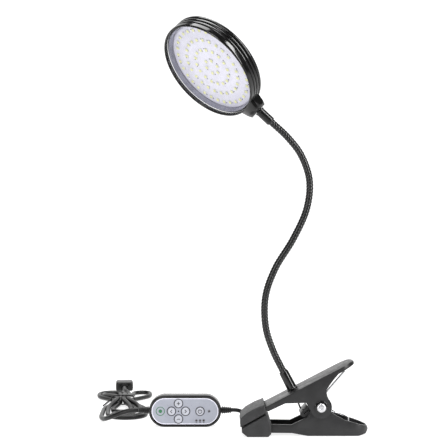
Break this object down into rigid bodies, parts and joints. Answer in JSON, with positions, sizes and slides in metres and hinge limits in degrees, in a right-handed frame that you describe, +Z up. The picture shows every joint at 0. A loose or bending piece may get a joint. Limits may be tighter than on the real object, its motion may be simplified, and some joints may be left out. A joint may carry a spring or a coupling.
{
  "type": "led grow light",
  "caption": "Clip-on grow lamp: a round LED head on a gooseneck, a sprung clip, an in-line button controller and a USB lead tied in a hank.",
  "frame": {"origin": "on the surface the clip stands on, straight under the clip's pivot, on the lower arm's underside", "axes": "+Z up, along the lamp's height; the jaws point along -X; the controller's buttons face -Y"},
  "size_m": [0.2035, 0.2441, 0.2847],
  "materials": {
    "clip_plastic": "satin dark grey moulded plastic",
    "jaw_rubber": "soft satin rubber",
    "gloss_black": "glossy black",
    "ferrule_black": "glossy black",
    "neck_metal": "black spiral-wound wire",
    "bright_steel": "bright steel",
    "contact_brass": "gold-plated",
    "cord_sheath": "satin black soft plastic",
    "lens_clear": "clear",
    "board_white": "white solder mask",
    "led_package": "white packages with yellow phosphor",
    "wall_lavender": "reflective, pale lavender grey",
    "label_grey": "silver-grey film",
    "button_white": "satin white",
    "circuit_green": "solder mask",
    "light_pipe": "tinted clear"
  },
  "bodies": {
    "base": {"lower_arm": "clip_plastic", "lower_jaw_cap": "jaw_rubber", "lead_clamp": "clip_plastic", "cord_gland": "cord_sheath", "pivot_rivet": "bright_steel", "washer_front": "gloss_black", "washer_rear": "gloss_black", "torsion_spring": "bright_steel", "lead_wire": "cord_sheath", "controller_front_case": "gloss_black", "controller_rear_case": "gloss_black", "controller_label": "label_grey", "controller_board": "circuit_green", "light_guide": "light_pipe", "relief_lamp_side": "cord_sheath", "relief_usb_side": "cord_sheath", "case_screw_left": "bright_steel", "case_screw_right": "bright_steel", "cord_lamp": "cord_sheath", "cord_usb_start": "cord_sheath", "cord_usb_hank": "cord_sheath", "cord_usb_end": "cord_sheath", "twist_tie": "cord_sheath", "plug_mould": "cord_sheath", "plug_shell": "bright_steel", "plug_tongue": "button_white", "plug_contact_1": "contact_brass", "plug_contact_2": "contact_brass", "plug_contact_3": "contact_brass", "plug_contact_4": "contact_brass"},
    "clip_upper": {"upper_arm": "clip_plastic", "upper_jaw_cap": "jaw_rubber", "lower_ferrule": "ferrule_black", "ferrule_nut": "bright_steel", "neck_root": "neck_metal"},
    "neck_1": {"neck_link_1": "neck_metal"},
    "neck_2": {"neck_link_2": "neck_metal"},
    "neck_3": {"neck_link_3": "neck_metal"},
    "neck_4": {"neck_link_4": "neck_metal"},
    "neck_5": {"neck_link_5": "neck_metal"},
    "neck_6": {"neck_link_6": "neck_metal"},
    "neck_7": {"neck_link_7": "neck_metal"},
    "head": {"neck_tip": "neck_metal", "upper_ferrule": "ferrule_black", "head_housing": "gloss_black", "head_bezel": "gloss_black", "lens": "lens_clear", "reflector_wall": "wall_lavender", "led_board": "board_white", "led_array": "led_package", "head_lead": "cord_sheath", "housing_screw_1": "bright_steel", "housing_screw_2": "bright_steel", "housing_screw_3": "bright_steel"},
    "button_up": {"button_up": "button_white"},
    "button_left": {"button_left": "button_white"},
    "button_right": {"button_right": "button_white"},
    "button_down": {"button_down": "button_white"},
    "button_power": {"button_power": "button_white"}
  },
  "joints": [
    {"name": "clip_open", "type": "hinge", "parent": "base", "child": "clip_upper", "pos_m": [0, 0, 0.0197], "axis": [0, 1, 0], "range_deg": [0, 30], "stiffness_Nm_per_rad": 0.5, "springref_deg": -28.65, "deforming": ["torsion_spring", "lead_wire"]},
    {"name": "neck_bend_1", "type": "hinge", "parent": "clip_upper", "child": "neck_1", "pos_m": [-0.02856, 0, 0.04922], "axis": [0, 1, 0], "range_deg": [-16, 16]},
    {"name": "neck_bend_2", "type": "hinge", "parent": "neck_1", "child": "neck_2", "pos_m": [-0.03714, 0, 0.07261], "axis": [0.9863, 0, 0.1647], "range_deg": [-16, 16]},
    {"name": "neck_bend_3", "type": "hinge", "parent": "neck_2", "child": "neck_3", "pos_m": [-0.0367, 0, 0.09747], "axis": [0, 1, 0], "range_deg": [-16, 16]},
    {"name": "neck_bend_4", "type": "hinge", "parent": "neck_3", "child": "neck_4", "pos_m": [-0.02678, 0, 0.12031], "axis": [0.8434, 0, -0.5373], "range_deg": [-16, 16]},
    {"name": "neck_bend_5", "type": "hinge", "parent": "neck_4", "child": "neck_5", "pos_m": [-0.01414, 0, 0.14186], "axis": [0, 1, 0], "range_deg": [-16, 16]},
    {"name": "neck_bend_6", "type": "hinge", "parent": "neck_5", "child": "neck_6", "pos_m": [-0.00702, 0, 0.16567], "axis": [0.9964, 0, -0.0849], "range_deg": [-16, 16]},
    {"name": "neck_bend_7", "type": "hinge", "parent": "neck_6", "child": "neck_7", "pos_m": [-0.01191, 0, 0.18985], "axis": [0, 1, 0], "range_deg": [-16, 16]},
    {"name": "neck_bend_8", "type": "hinge", "parent": "neck_7", "child": "head", "pos_m": [-0.02745, 0, 0.20925], "axis": [0.6701, 0, 0.7423], "range_deg": [-16, 16]},
    {"name": "button_up_press", "type": "slide", "parent": "base", "child": "button_up", "axis": [0, 1, 0], "range_m": [0, 0.0006], "stiffness_N_per_m": 400, "springref_m": -0.0005},
    {"name": "button_left_press", "type": "slide", "parent": "base", "child": "button_left", "axis": [0, 1, 0], "range_m": [0, 0.0006], "stiffness_N_per_m": 400, "springref_m": -0.0005},
    {"name": "button_right_press", "type": "slide", "parent": "base", "child": "button_right", "axis": [0, 1, 0], "range_m": [0, 0.0006], "stiffness_N_per_m": 400, "springref_m": -0.0005},
    {"name": "button_down_press", "type": "slide", "parent": "base", "child": "button_down", "axis": [0, 1, 0], "range_m": [0, 0.0006], "stiffness_N_per_m": 400, "springref_m": -0.0005},
    {"name": "button_power_press", "type": "slide", "parent": "base", "child": "button_power", "axis": [0, 1, 0], "range_m": [0, 0.0006], "stiffness_N_per_m": 400, "springref_m": -0.0005}
  ]
}
